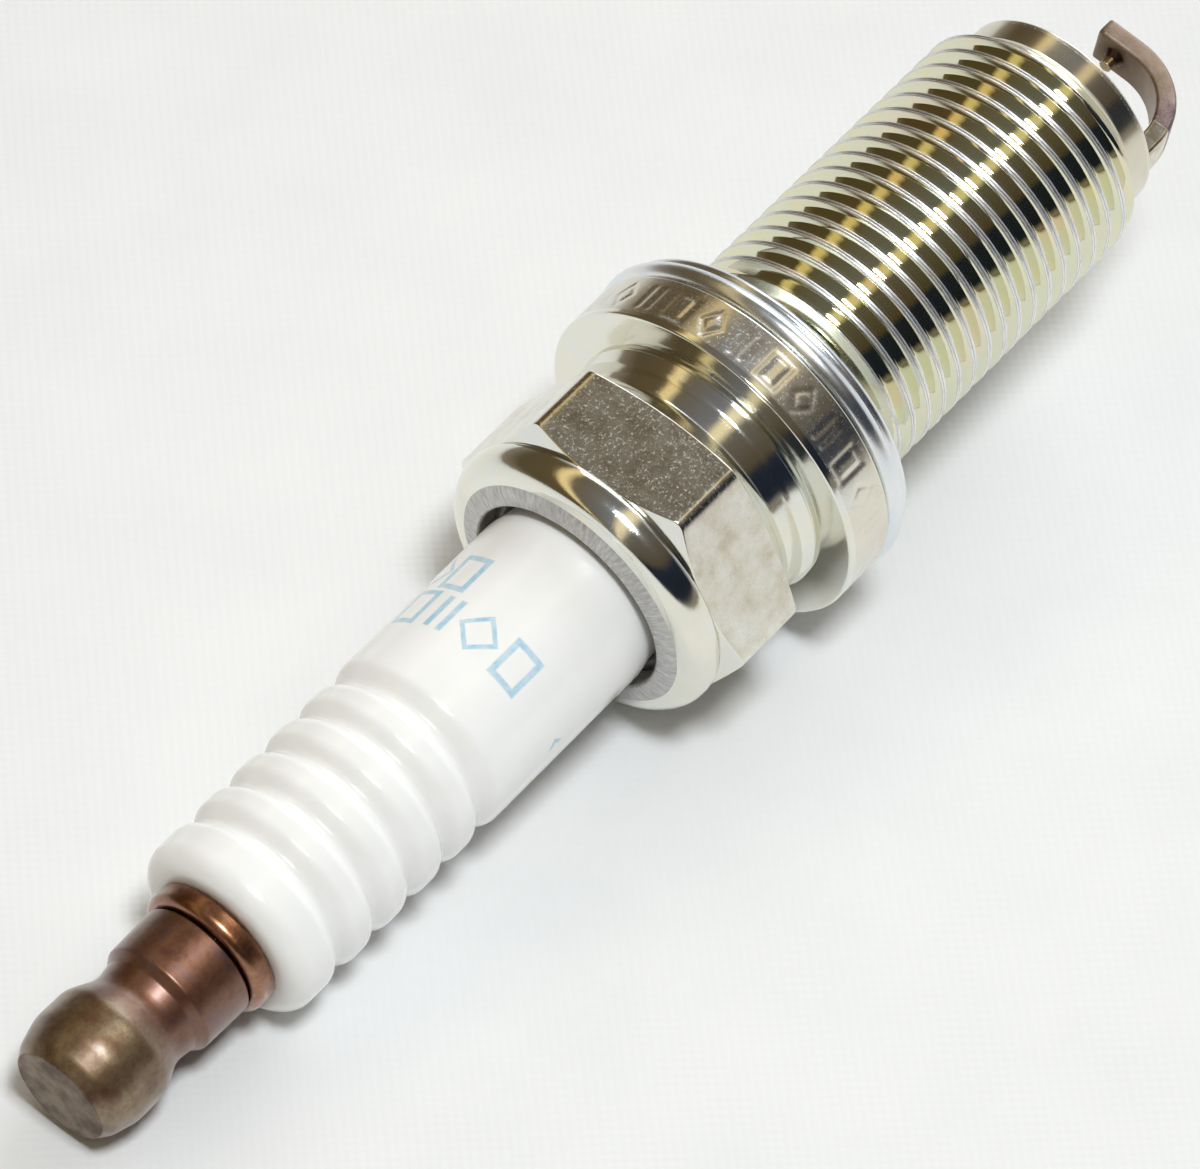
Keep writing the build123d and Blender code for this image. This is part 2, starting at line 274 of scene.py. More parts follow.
class Shader:
    """A node material with short helpers; inputs are numbers, tuples or other nodes' outputs."""

    def __init__(self, name):
        self.material = bpy.data.materials.new(name)
        self.material.use_nodes = True
        self.tree = self.material.node_tree
        self.surface = self.tree.nodes["Principled BSDF"]
        coordinates = self.tree.nodes.new("ShaderNodeTexCoord")
        self.point = self.vector_math("SCALE", coordinates.outputs["Object"], scale=1000)
        parts = self.node("ShaderNodeSeparateXYZ", Vector=self.point)
        self.x, self.y, self.z = parts.outputs
        squares = [self.math("POWER", value, 2) for value in (self.y, self.z)]
        self.radius = self.math("SQRT", self.math("ADD", *squares))
        self.angle = self.math("ARCTAN2", self.z, self.y)

    def node(self, kind, **inputs):
        made = self.tree.nodes.new(kind)
        for name, value in inputs.items():
            self.put(made.inputs[name.replace("_", " ")], value)
        return made

    def put(self, socket, value):
        if isinstance(value, bpy.types.NodeSocket):
            self.tree.links.new(value, socket)
        elif isinstance(value, bpy.types.Node):
            self.tree.links.new(value.outputs[0], socket)
        else:
            socket.default_value = value

    def math(self, operation, *values, clamp=False):
        made = self.tree.nodes.new("ShaderNodeMath")
        made.operation = operation
        made.use_clamp = clamp
        for socket, value in zip(made.inputs, values):
            self.put(socket, value)
        return made.outputs[0]

    def vector_math(self, operation, *values, scale=None):
        made = self.tree.nodes.new("ShaderNodeVectorMath")
        made.operation = operation
        for socket, value in zip(made.inputs, values):
            self.put(socket, value)
        if scale is not None:
            self.put(made.inputs["Scale"], scale)
        return made.outputs[0]

    def stretch(self, *pairs):
        """A vector of up to three outputs, each times its own factor, for drawn-out noise."""
        made = self.tree.nodes.new("ShaderNodeCombineXYZ")
        for socket, (value, factor) in zip(made.inputs, pairs):
            self.put(socket, self.math("MULTIPLY", value, factor))
        return made.outputs[0]

    def noise(self, vector, scale=1.0, detail=3.0, roughness=0.5):
        settings = {"Vector": vector, "Scale": scale, "Detail": detail, "Roughness": roughness}
        return self.node("ShaderNodeTexNoise", **settings).outputs["Fac"]

    def ramp(self, value, *stops):
        """A colour or grey ramp from (position, colour) stops."""
        made = self.node("ShaderNodeValToRGB", Fac=value)
        band = made.color_ramp
        while len(band.elements) < len(stops):
            band.elements.new(0.5)
        for element, (position, colour) in zip(band.elements, stops):
            element.position = position
            element.color = (*colour, 1) if isinstance(colour, tuple) else (colour, colour, colour, 1)
        return made.outputs[0]

    def mix(self, factor, a, b):
        made = self.tree.nodes.new("ShaderNodeMix")
        made.data_type = "RGBA"
        self.put(made.inputs["Factor"], factor)
        self.put(made.inputs[6], a if not isinstance(a, tuple) else (*a, 1))
        self.put(made.inputs[7], b if not isinstance(b, tuple) else (*b, 1))
        return made.outputs[2]

    def blend(self, factor, a, b):
        """Like mix, for single numbers."""
        made = self.tree.nodes.new("ShaderNodeMix")
        self.put(made.inputs["Factor"], factor)
        self.put(made.inputs[2], a)
        self.put(made.inputs[3], b)
        return made.outputs[0]

    def range(self, value, low, high, from_low=0.0, from_high=1.0):
        """value carried from from_low..from_high to low..high, and held at the ends."""
        limits = {"From_Min": from_low, "From_Max": from_high, "To_Min": low, "To_Max": high}
        return self.node("ShaderNodeMapRange", Value=value, **limits).outputs[0]

    def bump(self, height, distance_mm, strength=1.0, normal=None):
        made = self.node("ShaderNodeBump", Height=height, Distance=distance_mm * MM, Strength=strength)
        if normal is not None:
            self.put(made.inputs["Normal"], normal)
        return made.outputs[0]

    def finish(self, **sockets):
        """Puts each named value on the surface and returns the material."""
        for name, value in sockets.items():
            socket = self.surface.inputs[SURFACE_SOCKETS.get(name, name.title())]
            is_colour = isinstance(value, tuple) and len(value) == 3
            self.put(socket, (*value, 1) if is_colour else value)
        return self.material


def plated_steel(name, tints, roughness, turning, scuffs=0.3):
    """Bright zinc plating: drifting passivation tints, fine turning rings, small scuffs."""
    m = Shader(name)
    drift = m.noise(m.point, scale=0.16, detail=2.0)
    patches = m.noise(m.point, scale=0.9, detail=5.0, roughness=0.6)
    cloud = m.math("ADD", m.math("MULTIPLY", drift, 0.75), m.math("MULTIPLY", patches, 0.25))
    colour = m.ramp(cloud, *tints)
    rings = m.noise(m.stretch((m.x, 7.0), (m.radius, 7.0)), detail=4.0)
    pits = m.noise(m.point, scale=6.0, detail=4.0, roughness=0.7)
    scuff = m.ramp(pits, (0.56, 0.0), (0.72, 1.0))
    rough = m.range(m.noise(m.point, scale=1.4, detail=4.0), *roughness)
    rough = m.math("ADD", rough, m.math("MULTIPLY", scuff, 0.12 * scuffs), clamp=True)
    normal = m.bump(rings, 0.006 * turning, 0.6)
    normal = m.bump(scuff, 0.006 * scuffs, 0.5, normal)
    return m.finish(color=colour, metallic=1.0, roughness=rough, normal=normal)


def crest_masks(m):
    """Masks of the thread's crests and of the seam groove along their middle, where shade is painted."""
    on_crest = m.range(m.radius, 0.0, 1.0, thread_crest_r - 0.055, thread_crest_r - 0.02)
    below_rim = m.range(m.radius, 0.6, 0.0, thread_crest_r - 0.03, thread_crest_r - 0.015)
    return on_crest, m.math("MULTIPLY", on_crest, below_rim)


def rolled_thread(name):
    """Golden passivated roots and flanks, paler brushed crests, and the satin land past the thread."""
    m = Shader(name)
    drift = m.noise(m.point, scale=0.3, detail=4.0)
    root = m.ramp(
        drift, (0.34, (0.80, 0.76, 0.54)), (0.5, (0.76, 0.77, 0.60)), (0.66, (0.82, 0.74, 0.56))
    )
    crest = m.ramp(
        drift, (0.34, (0.86, 0.88, 0.90)), (0.5, (0.90, 0.87, 0.86)), (0.66, (0.84, 0.88, 0.92))
    )
    land = m.ramp(drift, (0.36, (0.65, 0.60, 0.48)), (0.62, (0.75, 0.71, 0.60)))
    along = m.stretch((m.x, 16.0), (m.angle, 5.0), (m.radius, 16.0))
    strokes = m.noise(along, detail=4.0, roughness=0.7)
    on_crest, painted_seam_shade = crest_masks(m)
    on_stroke = m.math("MULTIPLY", on_crest, m.ramp(strokes, (0.5, 0.0), (0.62, 0.6)))
    on_land = m.range(m.x, 0.0, 1.0, thread_end_x - 0.05, thread_end_x + 0.05)
    colour = m.mix(on_crest, root, crest)
    # painted shade: dark grey along each crest's seam groove
    colour = m.mix(painted_seam_shade, colour, (0.30, 0.30, 0.32))
    colour = m.mix(on_stroke, colour, (0.45, 0.46, 0.50))
    colour = m.mix(on_land, colour, land)
    crest_rough = m.math("MULTIPLY", on_crest, m.range(strokes, 0.16, 0.38))
    land_rough = m.math("MULTIPLY", on_land, m.range(drift, 0.09, 0.18))
    rough = m.math("ADD", m.math("ADD", 0.045, crest_rough), land_rough)
    normal = m.bump(m.math("MULTIPLY", strokes, on_crest), 0.03, 0.7)
    return m.finish(color=colour, metallic=1.0, roughness=rough, normal=normal)


def worn_flat(name):
    """The hexagon's flats: dulled by sockets, with fine bright flecks and scratches across."""
    m = Shader(name)
    blotch = m.noise(m.point, scale=0.7, detail=6.0, roughness=0.6)
    fleck = m.noise(m.point, scale=5.0, detail=7.0, roughness=0.85)
    base = m.ramp(
        blotch, (0.3, (0.56, 0.50, 0.39)), (0.5, (0.74, 0.71, 0.61)), (0.7, (0.84, 0.83, 0.77))
    )
    bright = m.ramp(fleck, (0.53, 0.0), (0.62, 1.0))
    colour = m.mix(m.math("MULTIPLY", bright, 0.6), base, (0.92, 0.95, 0.98))
    across = m.stretch((m.x, 0.9), (m.y, 11.0), (m.z, 11.0))
    scratches = m.ramp(m.noise(across, detail=4.0, roughness=0.7), (0.66, 0.0), (0.72, 1.0))
    rough = m.math("ADD", m.range(blotch, 0.12, 0.22), m.math("MULTIPLY", bright, 0.16))
    normal = m.bump(blotch, 0.008, 0.4)
    normal = m.bump(fleck, 0.008, 0.7, normal)
    normal = m.bump(scratches, 0.003, 0.4, normal)
    return m.finish(color=colour, metallic=1.0, roughness=rough, normal=normal)


def crimp_face(name):
    """The rolled lip's end: grey, matt, with radial strain lines."""
    m = Shader(name)
    rays = m.noise(m.stretch((m.angle, 34.0), (m.radius, 1.3)), detail=5.0, roughness=0.7)
    wear = m.noise(m.point, scale=2.2, detail=5.0)
    colour = m.ramp(
        rays, (0.28, (0.34, 0.33, 0.32)), (0.5, (0.52, 0.51, 0.50)), (0.75, (0.74, 0.73, 0.71))
    )
    rough = m.range(wear, 0.34, 0.5)
    normal = m.bump(rays, 0.016, 0.7)
    return m.finish(color=colour, metallic=0.9, roughness=rough, normal=normal)


def mark_edge(m, mark, along, across):
    """Distance from the middle of a mark's stroke, for a diamond, a double bar or a hollow box."""
    if mark == "diamond":
        return m.math("ABSOLUTE", m.math("SUBTRACT", m.math("ADD", along, across), print_size))
    if mark == "bars":
        offset = m.math("ABSOLUTE", m.math("SUBTRACT", along, 0.4))
        past_end = m.math("SUBTRACT", across, print_size - print_stroke)
        return m.math("MAXIMUM", offset, past_end)
    reach = m.math("MAXIMUM", m.math("ADD", along, 0.3), across)
    return m.math("ABSOLUTE", m.math("SUBTRACT", reach, print_size))


def barrel_print(m):
    """Mask of the barrel's pale blue print: two worn rows of plain marks."""
    place = m.math("MULTIPLY", m.angle, barrel_r)
    mask = 0.0
    for row_x, mark, mark_arc in print_marks:
        across = m.math("ABSOLUTE", m.math("SUBTRACT", m.x, row_x))
        along = m.math("ABSOLUTE", m.math("SUBTRACT", place, mark_arc))
        edge = mark_edge(m, mark, along, across)
        stroke = m.range(edge, 1.0, 0.0, print_stroke - print_edge, print_stroke + print_edge)
        mask = m.math("MAXIMUM", mask, stroke)
    wear = m.range(m.noise(m.point, scale=2.2, detail=4.0), 0.5, 0.85, 0.35, 0.65)
    return m.math("MULTIPLY", mask, wear)


def glaze(name):
    """Clear-glazed alumina with its print: warm white, slightly translucent and very slightly uneven."""
    m = Shader(name)
    tone = m.noise(m.point, scale=0.35, detail=3.0)
    colour = m.ramp(tone, (0.35, (0.93, 0.925, 0.905)), (0.65, (0.96, 0.955, 0.94)))
    colour = m.mix(barrel_print(m), colour, (0.30, 0.58, 0.76))
    waves = m.noise(m.stretch((m.x, 0.5), (m.y, 0.8), (m.z, 0.8)), detail=2.0)
    rough = m.range(m.noise(m.point, scale=1.1, detail=4.0), 0.14, 0.24)
    normal = m.bump(waves, 0.05, 0.35)
    normal = m.bump(m.noise(m.point, scale=7.0, detail=2.0), 0.0015, 0.5, normal)
    m.surface.inputs["Subsurface Weight"].default_value = 0.3
    m.surface.inputs["Subsurface Radius"].default_value = (1.0, 0.95, 0.85)
    m.surface.inputs["Subsurface Scale"].default_value = 0.001
    return m.finish(color=colour, roughness=rough, normal=normal, coat=0.3, coat_roughness=0.10)


def tinted_metal(name, tints, roughness=(0.25, 0.45), grain=4.0, relief=0.012, rings=0.0, coat=0.0):
    """Heat-tinted or oxidised metal: cloudy colour, satin roughness, fine pitting, turning rings."""
    m = Shader(name)
    cloud = m.noise(m.point, scale=0.55, detail=6.0, roughness=0.6)
    speck = m.noise(m.point, scale=grain, detail=5.0, roughness=0.7)
    blend = m.math("ADD", m.math("MULTIPLY", cloud, 0.7), m.math("MULTIPLY", speck, 0.3))
    colour = m.ramp(blend, *tints)
    rough = m.range(speck, *roughness)
    normal = m.bump(speck, relief, 0.5)
    if rings:
        lines = m.noise(m.stretch((m.x, 9.0), (m.radius, 9.0)), detail=3.0)
        normal = m.bump(lines, rings, 0.5, normal)
    sheen = {"coat": coat, "coat_roughness": 0.2}
    return m.finish(color=colour, metallic=1.0, roughness=rough, normal=normal, **sheen)


def terminal_metal(name):
    """The terminal's baked skin: red-brown on the collar, olive on the bulb, duller on its end."""
    m = Shader(name)
    cloud = m.noise(m.point, scale=0.7, detail=6.0, roughness=0.62)
    speck = m.noise(m.point, scale=5.0, detail=5.0, roughness=0.7)
    lines = m.noise(m.stretch((m.x, 9.0), (m.radius, 9.0)), detail=3.0)
    collar = m.ramp(
        cloud, (0.34, (0.11, 0.036, 0.016)), (0.5, (0.20, 0.082, 0.040)), (0.64, (0.155, 0.078, 0.076))
    )
    bulb = m.ramp(
        cloud, (0.36, (0.13, 0.056, 0.026)), (0.5, (0.20, 0.125, 0.062)), (0.64, (0.27, 0.200, 0.118))
    )
    end_face = m.ramp(cloud, (0.38, (0.10, 0.060, 0.038)), (0.6, (0.22, 0.165, 0.11)))
    on_bulb = m.range(m.x, 1.0, 0.0, nut_bulb_x + 1.45, nut_bulb_x + 3.45)
    on_end = m.range(m.x, 1.0, 0.0, nut_end_x + 0.02, nut_end_x + 0.08)
    colour = m.mix(on_bulb, collar, bulb)
    colour = m.mix(m.ramp(speck, (0.5, 0.0), (0.7, 0.45)), colour, (0.07, 0.035, 0.025))
    colour = m.mix(on_end, colour, end_face)
    rough = m.range(cloud, 0.52, 0.38, 0.3, 0.7)
    normal = m.bump(lines, 0.008, 0.5)
    normal = m.bump(speck, 0.012, 0.5, normal)
    sheen = {"coat": m.blend(on_end, 1.0, 0.1), "coat_roughness": 0.30}
    return m.finish(color=colour, metallic=0.9, roughness=rough, normal=normal, **sheen)


def strap_metal(name):
    """Purple-brown strap: plated near its foot, burnt round the pin's weld, grainy elsewhere."""
    m = Shader(name)
    cloud = m.noise(m.point, scale=1.1, detail=6.0, roughness=0.65)
    speck = m.noise(m.point, scale=8.0, detail=4.0, roughness=0.75)
    near_axis = m.range(m.radius, 1.0, 0.0, 0.7, 1.15)
    inner_face = m.range(m.x, 1.0, 0.0, 29.4, 29.6)
    inward = m.range(m.radius, 1.0, 0.0, 3.6, 4.6)
    foot = m.range(m.x, 1.0, 0.0, plated_foot_x - 0.03, plated_foot_x + 0.03)
    foot_colour = m.ramp(cloud, (0.36, (0.46, 0.38, 0.26)), (0.6, (0.74, 0.70, 0.58)))
    colour = m.ramp(
        cloud, (0.34, (0.13, 0.090, 0.085)), (0.5, (0.23, 0.17, 0.165)), (0.66, (0.34, 0.26, 0.24))
    )
    colour = m.mix(m.ramp(speck, (0.45, 0.0), (0.7, 0.5)), colour, (0.42, 0.34, 0.33))
    colour = m.mix(m.math("MULTIPLY", near_axis, inner_face), colour, (0.05, 0.028, 0.022))
    colour = m.mix(m.math("MULTIPLY", inward, 0.55), colour, (0.34, 0.26, 0.17))
    colour = m.mix(foot, colour, foot_colour)
    rough = m.blend(foot, m.range(cloud, 0.3, 0.5), 0.22)
    normal = m.bump(speck, 0.03, m.blend(foot, 0.6, 0.04))
    normal = m.bump(foot, 0.05, 0.7, normal)
    return m.finish(color=colour, metallic=1.0, roughness=rough, normal=normal)


def matt_mineral(name, low, high, roughness=(0.6, 0.9)):
    """Talc, glass seal or resistor mix: matt and granular."""
    m = Shader(name)
    grains = m.noise(m.point, scale=3.0, detail=6.0, roughness=0.7)
    colour = m.ramp(grains, (0.35, low), (0.65, high))
    rough = m.range(grains, *roughness)
    return m.finish(color=colour, roughness=rough, normal=m.bump(grains, 0.03, 0.6))


plating = plated_steel(
    "zinc_plating",
    (
        (0.28, (0.74, 0.74, 0.70)),
        (0.45, (0.82, 0.80, 0.70)),
        (0.6, (0.79, 0.81, 0.78)),
        (0.75, (0.80, 0.76, 0.75)),
    ),
    roughness=(0.065, 0.15),
    turning=0.35,
)
thread_plating = rolled_thread("thread_plating")
band_plating = plated_steel(
    "satin_band_plating",
    (
        (0.28, (0.70, 0.66, 0.57)),
        (0.45, (0.78, 0.74, 0.64)),
        (0.6, (0.76, 0.76, 0.74)),
        (0.75, (0.80, 0.76, 0.72)),
    ),
    roughness=(0.18, 0.28),
    turning=0.5,
    scuffs=0.8,
)
gasket_plating = plated_steel(
    "gasket_plating",
    ((0.3, (0.72, 0.77, 0.82)), (0.5, (0.84, 0.85, 0.86)), (0.7, (0.76, 0.82, 0.88))),
    roughness=(0.20, 0.30),
    turning=3.0,
)
flats = worn_flat("worn_hex_flats")
lip_face = crimp_face("crimp_face")
porcelain = glaze("glazed_alumina")
nut_metal = terminal_metal("oxidised_terminal")
copper_tint = tinted_metal(
    "copper_tinted_steel",
    ((0.3, (0.15, 0.048, 0.020)), (0.5, (0.30, 0.125, 0.056)), (0.7, (0.48, 0.25, 0.15))),
    roughness=(0.22, 0.4),
    rings=0.01,
    coat=1.0,
)
strap_nickel = strap_metal("heat_tinted_nickel")
weld_metal = tinted_metal(
    "weld_metal",
    ((0.3, (0.05, 0.032, 0.026)), (0.5, (0.13, 0.09, 0.07)), (0.7, (0.34, 0.28, 0.21))),
    roughness=(0.15, 0.4),
    grain=6.0,
    relief=0.04,
)
burnt_weld = tinted_metal(
    "burnt_weld",
    ((0.3, (0.022, 0.012, 0.010)), (0.5, (0.06, 0.035, 0.026)), (0.7, (0.20, 0.13, 0.09))),
    roughness=(0.15, 0.35),
    grain=5.0,
    relief=0.05,
)
bare_steel = tinted_metal(
    "bare_steel",
    ((0.3, (0.25, 0.25, 0.25)), (0.5, (0.38, 0.37, 0.36)), (0.7, (0.5, 0.49, 0.47))),
    rings=0.008,
)
nickel = tinted_metal(
    "nickel_alloy",
    ((0.3, (0.32, 0.29, 0.27)), (0.5, (0.45, 0.42, 0.39)), (0.7, (0.55, 0.52, 0.48))),
    rings=0.008,
)
copper = tinted_metal(
    "copper_core",
    ((0.3, (0.55, 0.24, 0.13)), (0.5, (0.72, 0.36, 0.22)), (0.7, (0.82, 0.48, 0.32))),
)
iridium = tinted_metal(
    "iridium",
    ((0.3, (0.55, 0.55, 0.56)), (0.5, (0.68, 0.68, 0.69)), (0.7, (0.78, 0.78, 0.78))),
    roughness=(0.12, 0.3),
)
platinum = tinted_metal(
    "platinum",
    ((0.3, (0.38, 0.29, 0.18)), (0.5, (0.54, 0.43, 0.28)), (0.7, (0.68, 0.58, 0.42))),
    roughness=(0.15, 0.3),
)
talc = matt_mineral("talc", (0.62, 0.60, 0.55), (0.74, 0.72, 0.67))
seal_glass = matt_mineral("seal_glass", (0.10, 0.06, 0.045), (0.24, 0.15, 0.10), roughness=(0.25, 0.6))
resistor_mix = matt_mineral("resistor_mix", (0.03, 0.03, 0.033), (0.09, 0.09, 0.095))

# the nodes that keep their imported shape
for node, material in {
    "terminal_stud": copper_tint,
    "talc_fill": talc,
    "outer_packing_ring": bare_steel,
    "inner_packing_ring": bare_steel,
    "seat_washer": bare_steel,
    "upper_glass_seal": seal_glass,
    "lower_glass_seal": seal_glass,
    "resistor": resistor_mix,
    "centre_electrode": nickel,
    "centre_copper_core": copper,
    "centre_tip_weld": weld_metal,
    "centre_tip": iridium,
    "ground_weld": weld_metal,
    "ground_tip_weld": burnt_weld,
    "ground_tip": platinum,
}.items():
    packed_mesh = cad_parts[node].data
    packed_mesh.materials.clear()
    packed_mesh.materials.append(material)


# --- metal shell --------------------------------------------------------------------------

SHELL_COLUMNS = 480
THREAD_SEAM = 250  # the column at which the thread's sheet starts
THREAD_TURNS = 18
POLISHED, FLAT, LIP, THREAD, BAND = 0, 1, 2, 3, 4
shell_materials = [plating, flats, lip_face, thread_plating, band_plating]
corner_wear = 0.05
hex_back_slope = math.tan(math.radians(30))
hex_front_slope = math.tan(math.radians(17))


class ShellWork:
    """The shell's vertices, faces and the faces' materials, gathered ring by ring."""

    def __init__(self):
        self.angles = np.arange(SHELL_COLUMNS) * TAU / SHELL_COLUMNS
        self.vertices = []
        self.faces = []
        self.materials = []

    def add_points(self, x, r, angles):
        """Adds one point for each angle and returns the first one's number."""
        first = len(self.vertices)
        self.vertices.extend(ring_points(x, r, angles))
        return first

    def add_face(self, material, *corners):
        self.faces.append(corners)
        self.materials.append(material)

    def join(self, a, b, material):
        """Faces between two rings."""
        for j in range(SHELL_COLUMNS):
            n = (j + 1) % SHELL_COLUMNS
            self.add_face(material, a + j, a + n, b + n, b + j)


def hexagon_radius(angles):
    """Distance from the axis to the hexagon at each angle, corners rounded off by wear."""
    side = (angles - hex_turn) % (TAU / 6) - TAU / 12
    sharp = hex_flat_r / np.cos(side)
    return hex_corner_r - corner_wear * np.log1p(np.exp((hex_corner_r - sharp) / corner_wear))


def thread_section():
    """One pitch of the thread, root to root, as (x offset, radius), with the seam on its crest."""
    flat = thread_crest_flat / 2
    depth = thread_crest_r - thread_root_r
    foot = flat + depth * math.tan(math.radians(30))
    half = [
        (0.0, thread_crest_r - 0.035),
        (0.03, thread_crest_r - 0.028),
        (0.055, thread_crest_r - 0.003),
        (flat - 0.045, thread_crest_r),
        (flat - 0.01, thread_crest_r - 0.012),
        (flat + 0.02, thread_crest_r - 0.05),
        (0.5 * (flat + foot), thread_crest_r - 0.5 * depth),
        (foot - 0.02, thread_root_r + 0.035),
        (foot + 0.02, thread_root_r + 0.008),
    ]
    return [(-x, r) for x, r in reversed(half[1:])] + half


def stamp_edge(index, along, across):
    """Distance from the middle of a stamp's stroke: diamonds, double bars and hollow boxes in turn."""
    if index % 3 == 0:
        return np.abs(along + 0.7 * across - 0.56)
    if index % 3 == 1:
        return np.hypot(along - 0.34, max(across - 0.72, 0))
    return np.abs(np.maximum(along - 0.52, across - 0.78))


def stamp_depth(x, angles):
    """How deep the flange's band is stamped at x, for each angle."""
    depth = np.zeros_like(angles)
    across = abs(x - stamp_row_x)
    for index, degrees in enumerate(range(first_stamp, last_stamp, stamp_step)):
        turn = (angles - math.radians(degrees) + math.pi) % TAU - math.pi
        edge = stamp_edge(index, np.abs(flange_r * turn), across)
        depth += stamp_cut * np.clip((stamp_stroke - edge) / stamp_slope_width, 0, 1)
    return depth


def lip_and_roll(hexagon, cone_back, hex_middle):
    """Profiles of the crimped lip's end, and of its roll and the hexagon's back half."""
    lip = rounded(
        [
            (crimp_end_x + 1.3, crimp_hole_r),
            (crimp_end_x, crimp_hole_r, 0.12),
            (crimp_end_x + 0.16, 6.6),
        ]
    )
    roll = rounded(
        [
            (crimp_end_x + 0.16, 6.6),
            (crimp_end_x + 0.3, 6.86, 0.12),
            *arc(roll_x, roll_r, roll_depth, roll_height, 172, 70, 6),
            (hex_back_x - 0.02, 7.9, 0.03),
            (cone_back, hexagon, 0.12),
            (hex_middle, hexagon),
        ]
    )
    return lip, roll[1:]


def waist_and_flange(angles, hexagon, cone_front, hex_middle):
    """Profile from the middle of the hexagon over the waist and the stamped flange to the neck."""
    stamped = np.linspace(flange_back_x + 0.4, flange_seat_x - 0.4, 24)
    front = rounded(
        [
            (hex_middle, hexagon),
            (cone_front, hexagon, 0.12),
            (hex_front_x + 0.06, hex_flat_r - 0.2, 0.1),
            (hex_front_x + 0.9, waist_r, 0.9),
            (flange_back_x - 1.0, waist_r, 0.7),
            (flange_back_x - 0.36, waist_r + 0.32, 0.05),
            (flange_back_x - 0.16, waist_r + 0.05, 0.05),
            (flange_back_x, flange_r, 0.16),
            *((x, flange_r - stamp_depth(x, angles)) for x in stamped),
            (flange_seat_x, flange_r, 0.2),
            (flange_seat_x, neck_r, 0.3),
            (thread_start_x - 2.0, neck_r),
        ]
    )
    return front[1:]


def head_rings(angles):
    """Rings from the crimp to the neck, each with the material of the faces that follow it."""
    hexagon = hexagon_radius(angles)
    cone_back = hex_back_x + (hexagon - hex_flat_r) * hex_back_slope
    cone_front = hex_front_x - (hexagon - hex_flat_r) * hex_front_slope
    hex_middle = 0.5 * (cone_back + cone_front)
    lip, roll = lip_and_roll(hexagon, cone_back, hex_middle)
    head = lip + roll + waist_and_flange(angles, hexagon, cone_front, hex_middle)
    first_flat = len(lip) + len(roll) - 4
    last_flat = len(lip) + len(roll) + 2
    rings = []
    for index, (x, r) in enumerate(head):
        on_band = flange_back_x + 0.2 < np.mean(x) < flange_seat_x - 0.2
        material = POLISHED
        if index < len(lip) + 4:
            material = LIP
        elif first_flat <= index <= last_flat:
            material = FLAT
        elif on_band and np.mean(r) > neck_r + 2:
            material = BAND
        rings.append((x, r, material))
    return rings


def pilot_and_bore_rings():
    """Rings from the end of the thread round the pilot and back through the bore to the crimp."""
    profile = rounded(
        [
            (thread_end_x + 1.35, pilot_r),
            (reach_end_x, pilot_r, 0.3),
            (reach_end_x, chamber_r + 0.15, 0.05),
            (reach_end_x - 0.15, chamber_r, 0.05),
            (15.0, chamber_r, 0.2),
            (14.2, ledge_r, 0.1),
            (12.7, ledge_r, 0.1),
            (12.3, body_bore_r, 0.1),
            (-2.4, body_bore_r, 0.3),
            (-4.6, packing_bore_r, 0.3),
            (packing_start_x, packing_bore_r, 0.05),
            (packing_start_x, crimp_hole_r + 0.02),
        ]
    )
    rings = []
    for x, r in profile:
        on_pilot = x > thread_end_x and r > chamber_r + 0.1
        rings.append((x, r, BAND if on_pilot else POLISHED))
    return rings


def add_rings(work, rings):
    """Adds and joins a row of rings, and returns the first and the last."""
    placed = [work.add_points(x, r, work.angles) for x, r, _ in rings]
    for a, b, (_, _, material) in zip(placed, placed[1:], rings):
        work.join(a, b, material)
    return placed[0], placed[-1]


def add_thread(work):
    """A helical sheet, closed on itself from turn to turn. Returns how to find its points.

    Its rows run along the helix, and the last row of a turn is the first row of the next.
    """
    offsets = [(-thread_pitch / 2, thread_root_r)] + thread_section()
    first_x = thread_end_x + 0.07 - THREAD_TURNS * thread_pitch
    rows = []
    for row, (offset, radius) in enumerate(offsets):
        turns = THREAD_TURNS + 1 if row == 0 else THREAD_TURNS
        turn = np.arange(turns * SHELL_COLUMNS + 1) / SHELL_COLUMNS
        x = first_x + thread_pitch * (turn + 0.5) + offset
        run_in = neck_r + np.clip(x - thread_start_x, 0, None)
        run_out = pilot_r + np.clip(thread_end_x - x, 0, None)
        r = np.minimum(radius, np.minimum(run_in, run_out))
        rows.append(work.add_points(x, r, (turn + THREAD_SEAM / SHELL_COLUMNS) * TAU))

    def at(step, row):
        return rows[0] + step + SHELL_COLUMNS if row == len(offsets) else rows[row] + step

    for row in range(len(offsets)):
        for step in range(THREAD_TURNS * SHELL_COLUMNS):
            corners = at(step, row), at(step + 1, row), at(step + 1, row + 1), at(step, row + 1)
            work.add_face(THREAD, *corners)
    return at, range(1, len(offsets))


def on_ring(first, step):
    """The point of a ring that lies at a step of the thread's sheet."""
    return first + (step + THREAD_SEAM) % SHELL_COLUMNS


def join_neck(work, neck, at, rows):
    """Closes the thread's start against the neck's last ring."""
    end = SHELL_COLUMNS - 1
    for j in range(end):
        work.add_face(THREAD, on_ring(neck, j), on_ring(neck, j + 1), at(j + 1, 0), at(j, 0))
    section = [at(0, row) for row in rows]
    seam = on_ring(neck, end), on_ring(neck, 0), at(0, 0)
    work.add_face(THREAD, *seam, *section, at(SHELL_COLUMNS, 0), at(end, 0))


